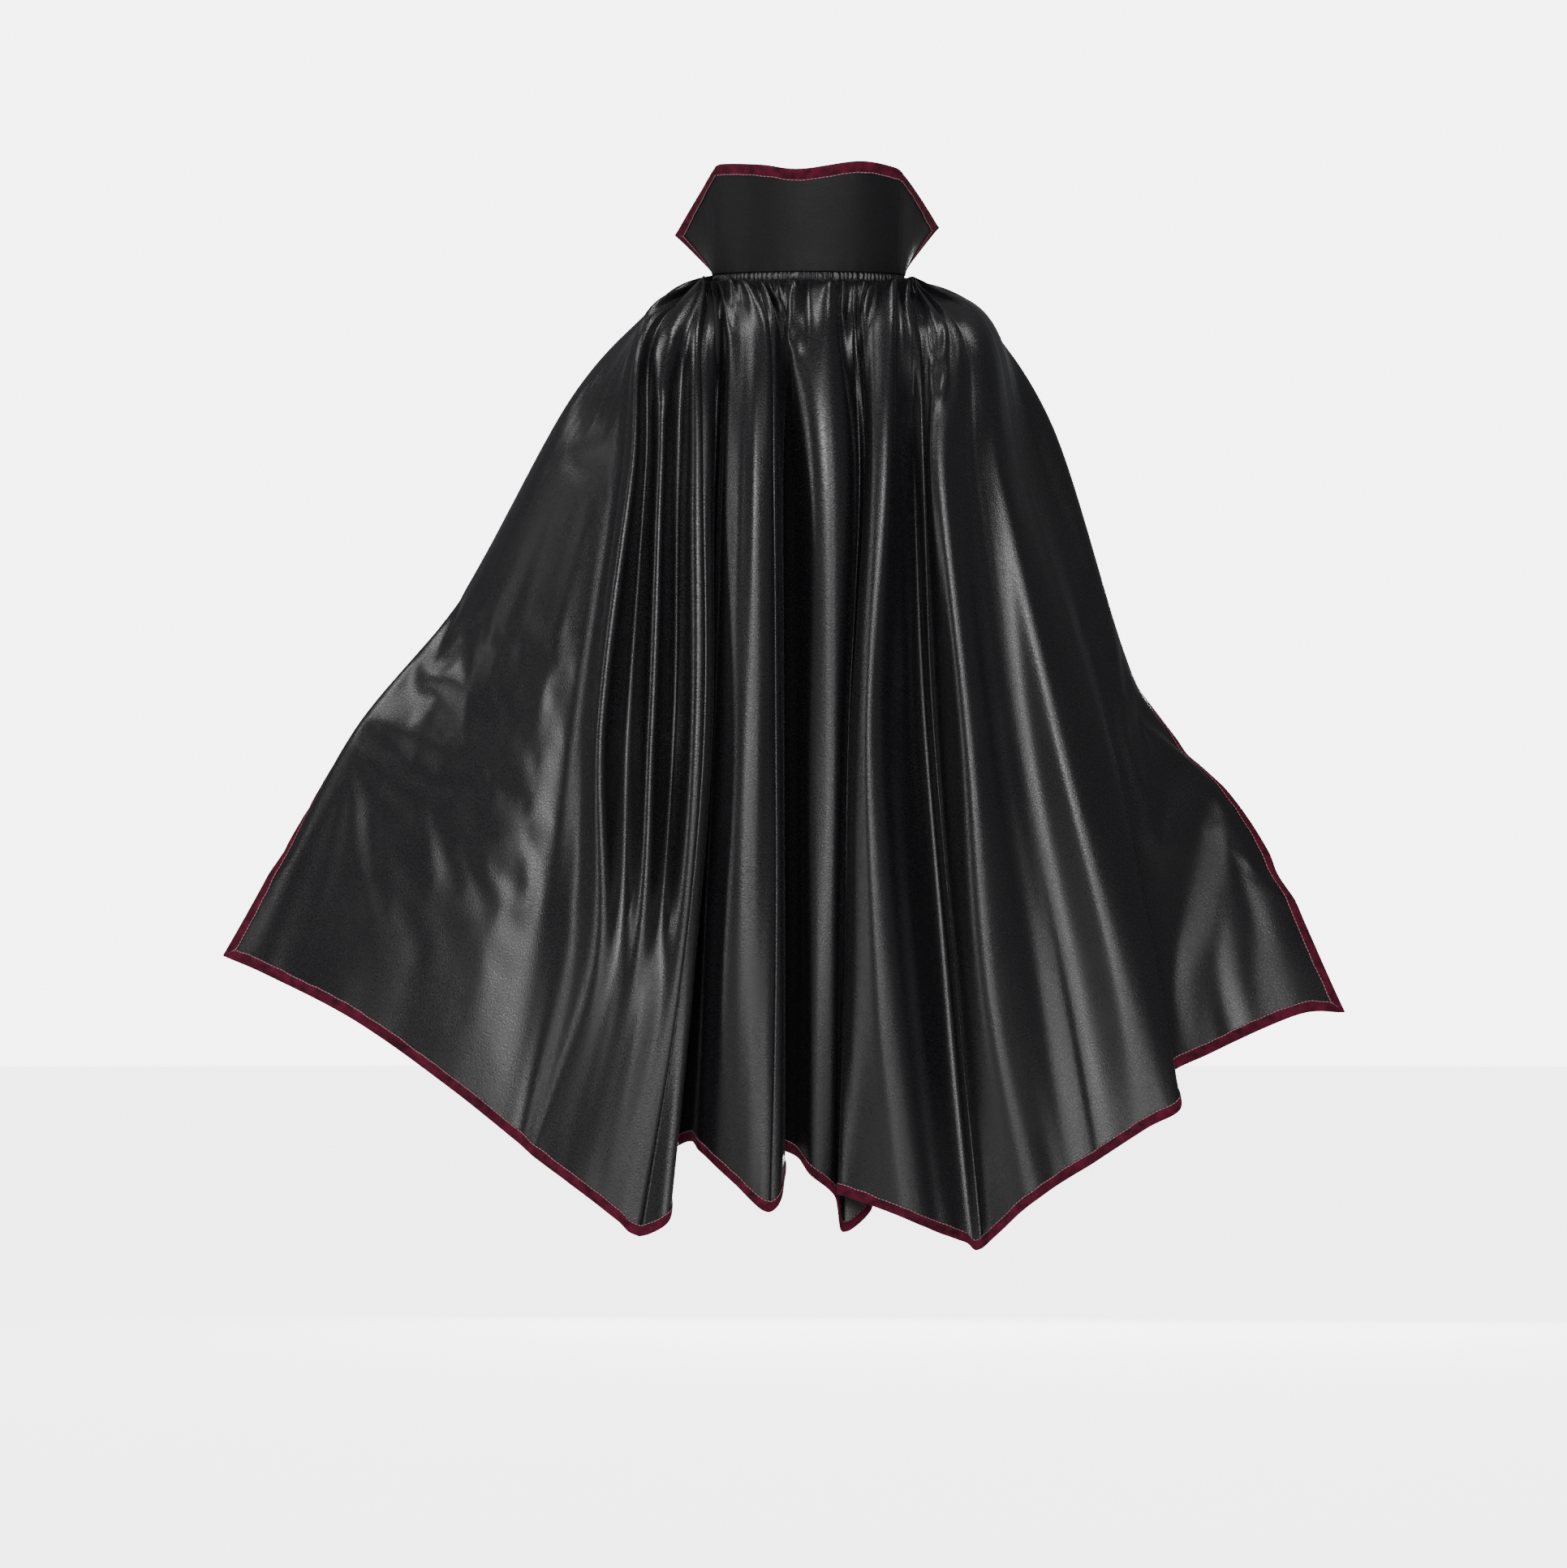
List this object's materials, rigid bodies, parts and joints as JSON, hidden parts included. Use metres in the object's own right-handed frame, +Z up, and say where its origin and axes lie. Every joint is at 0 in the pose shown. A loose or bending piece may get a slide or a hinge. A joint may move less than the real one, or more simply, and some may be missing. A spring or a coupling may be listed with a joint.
{
  "type": "costume cape",
  "caption": "Child-size black satin costume cape with a stiff standing collar, gathered neck, scalloped hem and wine velvet binding, held open at its front edges.",
  "frame": {"origin": "centre of the oval neck opening, in the plane of the neck seam", "axes": "+Z up along the neck; +Y the way the wearer faces; +X to the wearer's right"},
  "size_m": [0.9882, 0.2332, 0.951],
  "materials": {
    "satin": "black polyester satin, glossy outer face, dull inner face",
    "velvet": "wine crushed velvet pile",
    "stiffener": "matt non-woven stiffening",
    "elastic": "knitted white elastic",
    "label": "plain woven label",
    "fastening_tape": "black hook-and-loop tape"
  },
  "bodies": {
    "root": {"collar_outer": "satin", "collar_stiffener": "stiffener", "collar_lining": "satin", "collar_binding": "velvet", "neck_casing": "satin", "neck_elastic": "elastic", "care_label": "label", "under_tab": "satin", "loop_tape": "fastening_tape", "left_back_panel": "satin", "centre_back_panel": "satin", "right_back_panel": "satin", "left_back_hem_binding": "velvet", "centre_back_hem_binding": "velvet", "right_back_hem_binding": "velvet", "left_shoulder_panel": "satin", "left_shoulder_hem_binding": "velvet", "left_throat_binding": "velvet", "right_shoulder_panel": "satin", "right_shoulder_hem_binding": "velvet", "right_throat_binding": "velvet"},
    "left_wing": {"left_wing_panel": "satin", "left_wing_hem_binding": "velvet", "left_wing_edge_binding": "velvet"},
    "right_wing": {"right_wing_panel": "satin", "right_wing_hem_binding": "velvet", "right_wing_edge_binding": "velvet"},
    "throat_tab": {"closure_tab": "satin", "hook_tape": "fastening_tape"}
  },
  "joints": [
    {"name": "left_wing_swing", "type": "hinge", "parent": "root", "child": "left_wing", "pos_m": [-0.22, -0.07, -0.4], "axis": [0, 0, -1], "range_deg": [-15, 30]},
    {"name": "right_wing_swing", "type": "hinge", "parent": "root", "child": "right_wing", "pos_m": [0.22, -0.07, -0.4], "axis": [0, 0, 1], "range_deg": [-15, 30]},
    {"name": "throat_tab_peel", "type": "hinge", "parent": "root", "child": "throat_tab", "pos_m": [-0.0419, 0.0563, 0.0085], "axis": [0, 0, 1], "range_deg": [0, 110]}
  ]
}
